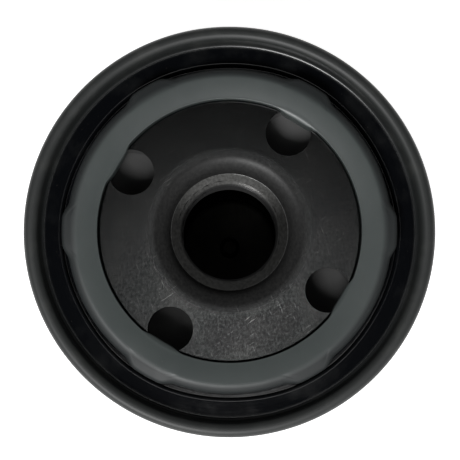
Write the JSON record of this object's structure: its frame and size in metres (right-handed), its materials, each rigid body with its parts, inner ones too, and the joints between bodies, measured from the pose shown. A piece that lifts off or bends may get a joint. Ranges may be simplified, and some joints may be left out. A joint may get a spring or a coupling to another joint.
{
  "type": "spin-on oil filter",
  "caption": "Small-engine spin-on oil filter: black steel can, seamed lid, threaded plate with inlet holes, grey sealing gasket, pleated element and valves inside.",
  "frame": {"origin": "on the thread axis, in the plane that the closed end rests on", "axes": "+Z along the thread axis, from the closed end towards the engine; +X through the middle of one of the gasket's nibs"},
  "size_m": [0.0762, 0.0762, 0.086],
  "materials": {
    "can_paint": "semi-gloss black coating over drawn steel",
    "lid_paint": "semi-gloss black coating over thin sheet steel",
    "compound": "dried seaming compound",
    "plate_steel": "dark oiled satin steel",
    "gasket_rubber": "matte grey nitrile rubber",
    "valve_rubber": "matte black nitrile rubber",
    "cap_steel": "bright tinned sheet steel",
    "filter_paper": "resin-treated filter paper",
    "tube_steel": "bare rolled sheet steel",
    "potting": "cured plastisol",
    "valve_steel": "zinc-plated pressed steel",
    "spring_wire": "drawn spring wire"
  },
  "bodies": {
    "housing": {"can": "can_paint", "seaming_lid": "lid_paint", "seam_compound": "compound", "base_plate": "plate_steel", "sealing_gasket": "gasket_rubber", "drainback_collar": "valve_rubber", "support_spring": "spring_wire"},
    "element": {"element_top_cap": "cap_steel", "element_bottom_cap": "cap_steel", "pleated_media": "filter_paper", "center_tube": "tube_steel", "top_potting": "potting", "bottom_potting": "potting", "pleat_clip": "cap_steel", "bypass_cage": "valve_steel", "bypass_spring": "spring_wire"},
    "bypass_valve": {"bypass_disc": "valve_steel", "bypass_seal": "valve_rubber", "bypass_stem": "valve_steel"},
    "drainback_flap": {"drainback_lip": "valve_rubber"}
  },
  "joints": [
    {"name": "element_float", "type": "slide", "parent": "housing", "child": "element", "axis": [0, 0, 1], "range_m": [-0.0025, 0], "stiffness_N_per_m": 2600, "springref_m": 0.0006, "deforming": ["support_spring"]},
    {"name": "bypass_lift", "type": "slide", "parent": "element", "child": "bypass_valve", "axis": [0, 0, 1], "range_m": [0, 0.0035], "stiffness_N_per_m": 2300, "deforming": ["bypass_spring"]},
    {"name": "drainback_flex", "type": "slide", "parent": "housing", "child": "drainback_flap", "axis": [0, 0, 1], "range_m": [-0.0012, 0], "stiffness_N_per_m": 60, "springref_m": 0.0005}
  ]
}
